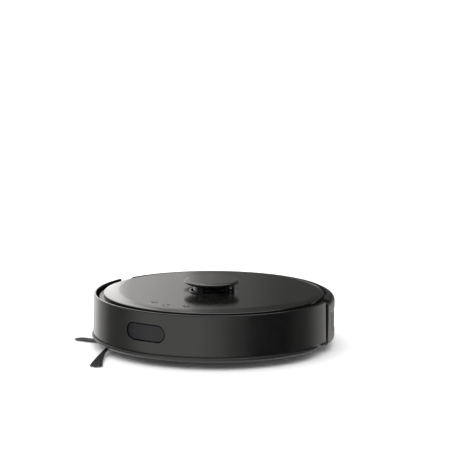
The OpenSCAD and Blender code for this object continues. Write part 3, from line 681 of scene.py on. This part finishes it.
collar = lathe(
    "collar",
    fillet([(29.5, 67.9, 0), (33, 67.9, 0), (33, 79.2, 0.5), (29.5, 79.2, 0.5)]),
    TURRET,
    180,
)
belt_slot = fillet([(27, 70.6, 0), (39, 70.6, 0), (39, 74.2, 0), (27, 74.2, 0)])
belt_way = sweep("cut", belt_slot, 188, 298, 2, middle=TURRET)
boolean(collar, [belt_way])
parts = [collar]
base_ring = [(14, 62.5, 0.3), (17, 62.5, 0.3), (17, 65.5, 0), (33.5, 65.5, 0.3), (33.5, 67.95, 0.2), (14, 67.95, 0.2)]
parts.append(lathe("base", fillet(base_ring), TURRET, 120))
for a in (0, 112, -112):
    pillar = fillet([(29.6, 79, 0), (32.9, 79, 0), (32.9, 88, 0), (29.6, 88, 0)])
    parts.append(sweep("pillar", pillar, a - 8, a + 8, 1, ends=0.8, middle=TURRET))
arm_dir = Vector((-37.7, 19.4)).normalized()
arm_side = Vector((-arm_dir[1], arm_dir[0])) * 9
foot, tip = Vector(TURRET) + arm_dir * 25, Vector((-37.7, 12.4))
arm = prism("arm", [foot - arm_side, tip - arm_side, tip + arm_side, foot + arm_side], 65.9, 67.6, 0.2)
pad = prism("pad", disc_outline(tip, 12, 48), 65.7, 67.8, 0.3)
boolean(pad, [prism("cut", disc_outline(tip, 2.2, 24), 60, 70, 0.1)])
finished(join("turret_frame_cage", parts + [arm, pad]), "turret_frame")

for node, width in (("lidar_head", 0.4), ("lidar_pulley", 0.15)):
    softened(node, width)

# ---------- tyres ----------


def tyre_piece(side):
    """A hollow rubber tread with two rows of chevron lugs."""
    x0 = 106
    carcass = fillet(
        [(x0 + 0.8, 27, 0), (x0, 29.5, 0.6), (x0 + 0.8, 31.6, 0.6), (x0 + 2.2, 32, 0.5), (x0 + 17.8, 32, 0.5)]
        + [(x0 + 19.2, 31.6, 0.6), (x0 + 20, 29.5, 0.6), (x0 + 19.2, 27, 0)],
        4,
    )
    parts = [lathe_x("carcass", [Vector((side * x, r)) for x, r in carcass], 10, 33, 128)]
    for i in range(36):
        for row in (0, 1):
            rings = []
            for k in range(5):
                t = k / 4
                x = x0 + 1.4 + 8.2 * t if row == 0 else x0 + 18.6 - 8.2 * t
                a = math.radians(10 * i + 5 * row + 5.5 * t)
                lift = 1.0 if 0.1 < t < 0.99 else 0.72
                ring = []
                for half, r in ((-1, 31.7), (1, 31.7), (0.72, 32 + lift - 0.02), (-0.72, 32 + lift - 0.02)):
                    b = a + half * math.radians(2.55)
                    ring.append(Vector((side * x, 10 + r * math.cos(b), 33 + r * math.sin(b))))
                rings.append(ring)
            parts.append(loft("lug", rings))
    return join("tyre_tread_left" if side > 0 else "tyre_tread_right", parts)


for name, side in (("left", 1), ("right", -1)):
    finished(tyre_piece(side), f"tyre_{name}")
    softened(f"wheel_hub_{name}", 0.5)
    softened(f"wheel_arm_{name}", 0.6)

# ---------- side brush: three bundles of nylon filaments ----------

SIDE = Vector((-82.5, -116.6, 0))
SIDE_TURN, REACH = 282.8, 106.7


def tuft_line(t):
    """Centre, sideways direction, half width and height of a tuft at a share of its length."""
    a = math.radians(-48)
    p0 = Vector((23 * math.cos(a), 23 * math.sin(a)))
    p2 = Vector((REACH, 0))
    p1 = (p0 + p2) / 2 + Vector((1, -5))
    c = (1 - t) ** 2 * p0 + 2 * t * (1 - t) * p1 + t * t * p2
    d = (2 * (1 - t) * (p1 - p0) + 2 * t * (p2 - p1)).normalized()
    return c, Vector((-d[1], d[0])), 2.2 + 7.5 * t**1.3, 1.1 + 4.6 * (1 - t) ** 1.4


strands = []
for tuft in range(3):
    turn = Matrix.Rotation(math.radians(SIDE_TURN + 120 * tuft), 4, "Z")
    for i in range(84):
        lane = -1 + 2 * (i % 28 + 0.5 * (i // 28 % 2)) / 27.5
        level = (i // 28 + 0.5) / 3
        end = random.uniform(0.955, 1.0) * (1 - 0.05 * lane * lane)
        wave, lean = random.uniform(-0.35, 0.35), random.uniform(-0.05, 0.05)
        path = []
        for k in range(11):
            t = end * k / 10
            c, n, w, z = tuft_line(t)
            spread = (lane + lean * t) * (w - 0.3) + wave * math.sin(3 * math.pi * t) * t
            thick = 0.6 + 0.9 * (1 - t)
            p = Vector((*(c + n * spread), z + 0.15 + thick * level * 0.85))
            path.append(turn @ p + SIDE)
        strands.append(tube("strand", path, 0.34, 5, taper=0.3))
finished(join("side_brush_filaments", strands), "side_brush_bristles")
softened("side_brush_hub", 0.5)

# ---------- main brush ----------

BRUSH_Y, BRUSH_Z = 46, 27


def fin(side, start, width, reach, thick):
    """A blade that winds round the roller from its middle outwards."""
    rings = []
    for k in range(33):
        t = k / 32
        x = side * 79 * t
        a = math.radians(start - side * 0 + 75 * t)
        ring = []
        for r, half in ((8.4, thick), (reach - 1.2, width), (reach - 0.3, width * 0.8), (reach, 0.25)):
            ring.append((r, half))
        outline = [(r, h) for r, h in ring] + [(r, -h) for r, h in reversed(ring)]
        rings.append(
            [
                Vector((x, BRUSH_Y + r * math.cos(a) - h * math.sin(a), BRUSH_Z + r * math.sin(a) + h * math.cos(a)))
                for r, h in outline
            ]
        )
    return loft("fin", rings)


fins = [fin(s, 60 * i, 0.65, 19.95, 1.2) for s in (-1, 1) for i in range(6)]
brush_fins = join("main_brush_blades", fins)
finished(brush_fins, "main_brush_fins")
softened("main_brush_core", 0.5)

# ---------- everything else ----------

SOFT = {
    "brush_cover": 0.4,
    "brush_cover_latches": 0.4,
    "battery_cover": 0.4,
    "base_pan": 0.4,
    "caster_fork": 0.8,
    "caster_wheel": 0.6,
    "dustbin_body": 0.5,
    "dustbin_lid": 0.5,
    "dustbin_release": 0.6,
    "evac_flap": 0.3,
    "exhaust_grille": 0.25,
    "fan_housing": 0.6,
    "fan_motor": 0.6,
    "lidar_motor": 0.6,
    "brush_motor": 0.6,
    "brush_deck": 0.5,
    "side_brush_motor": 0.6,
    "speaker": 0.4,
    "battery_pack": 0.8,
    "fan_impeller": 0.25,
    "brush_motor_pulley": 0.2,
    "brush_drive_pulley": 0.2,
    "bumper_switches": 0.4,
}
for node, width in SOFT.items():
    softened(node, width)
for name, obj in nodes.items():
    if obj.hide_render:
        continue
    slot = obj.material_slots[0]
    slot.link = "OBJECT"
    slot.material = M[slot_of[name]]

# ---------- floor and light ----------

floor = bpy.data.meshes.new("floor")
FLOOR, FLOOR_Z = 60, -0.0002
corners = [(x * FLOOR, y * FLOOR, FLOOR_Z) for x, y in ((-1, -1), (1, -1), (1, 1), (-1, 1))]
floor.from_pydata(corners, [], [(0, 1, 2, 3)])
floor_obj = bpy.data.objects.new("floor", floor)
bpy.context.scene.collection.objects.link(floor_obj)
paper = material("paper", (0.86, 0.86, 0.86), 0.7, 0.8, 0.01, vary=0.01)
floor.materials.append(paper)


def reflector(name, radius, low, high, turn, stops):
    """A studio card bent round the object, seen only in reflections. Stops are (degrees, brightness)."""
    mesh = bpy.data.meshes.new(name)
    count = 96
    ring = [polar(radius, 360 * i / count, 0) for i in range(count)]
    verts = [(p[0], p[1], low) for p in ring] + [(p[0], p[1], high) for p in ring]
    faces = [(i, (i + 1) % count, count + (i + 1) % count, count + i) for i in range(count)]
    mesh.from_pydata(verts, [], faces)
    obj = bpy.data.objects.new(name, mesh)
    bpy.context.scene.collection.objects.link(obj)
    obj.visible_camera = obj.visible_diffuse = obj.visible_shadow = False
    obj.visible_transmission = obj.visible_volume_scatter = False
    m = bpy.data.materials.new(name)
    m.use_nodes = True
    tree = m.node_tree
    tree.nodes.clear()
    new, link = tree.nodes.new, tree.links.new
    place, mapping, gradient = new("ShaderNodeTexCoord"), new("ShaderNodeMapping"), new("ShaderNodeTexGradient")
    ramp, glow, end = new("ShaderNodeValToRGB"), new("ShaderNodeEmission"), new("ShaderNodeOutputMaterial")
    mapping.inputs["Rotation"].default_value = (0, 0, math.radians(turn))
    gradient.gradient_type = "RADIAL"
    ramp.color_ramp.interpolation = "EASE"
    while len(ramp.color_ramp.elements) < len(stops):
        ramp.color_ramp.elements.new(0.5)
    peak = max(v for _, v in stops)
    for element, (degrees, value) in zip(ramp.color_ramp.elements, sorted(stops)):
        element.position = degrees / 360 + 0.5
        element.color = (value / peak, value / peak * 0.985, value / peak * 0.965, 1)
    glow.inputs["Strength"].default_value = peak
    link(place.outputs["Object"], mapping.inputs["Vector"])
    link(mapping.outputs["Vector"], gradient.inputs["Vector"])
    link(gradient.outputs["Fac"], ramp.inputs["Fac"])
    link(ramp.outputs["Color"], glow.inputs["Color"])
    link(glow.outputs["Emission"], end.inputs["Surface"])
    mesh.materials.append(m)


world = bpy.data.worlds.new("studio")
bpy.context.scene.world = world
world.use_nodes = True
world.node_tree.nodes["Background"].inputs["Color"].default_value = (1, 1, 1, 1)
world.node_tree.nodes["Background"].inputs["Strength"].default_value = 0.9
sun = bpy.data.lights.new("ceiling", "SUN")
sun.energy, sun.angle = 2.6, math.radians(110)
sun_obj = bpy.data.objects.new("ceiling", sun)
sun_obj.rotation_euler = (math.radians(8), math.radians(-10), 0)
bpy.context.scene.collection.objects.link(sun_obj)
floor_obj.visible_glossy = False
# Around the sides, counted from the camera's side towards the robot's left
reflector(
    "card_low", 8, -8, 0.001, 60,
    [(-180, 0.5), (-152, 1.5), (-134, 0.9), (-114, 0.3), (-98, 0.3), (-60, 1.4), (-15, 1.45), (4, 1.05), (20, 0.5)]
    + [(42, 0.05), (68, 0.0), (92, 0.2), (122, 0.85), (142, 1.2), (160, 0.6), (180, 0.5)],
)
# Behind the robot, counted from straight behind towards its right
reflector(
    "card_high", 0.36, 0.08, 0.5, 240,
    [(-180, 0.3), (-120, 0.05), (-60, 0.08), (-20, 0.1), (-4, 0.19), (3, 0.31), (9, 0.76), (22, 0.92), (30, 2.25)]
    + [(60, 1.85), (80, 0.4), (180, 0.3)],
)
bpy.context.scene.view_settings.view_transform = "Standard"
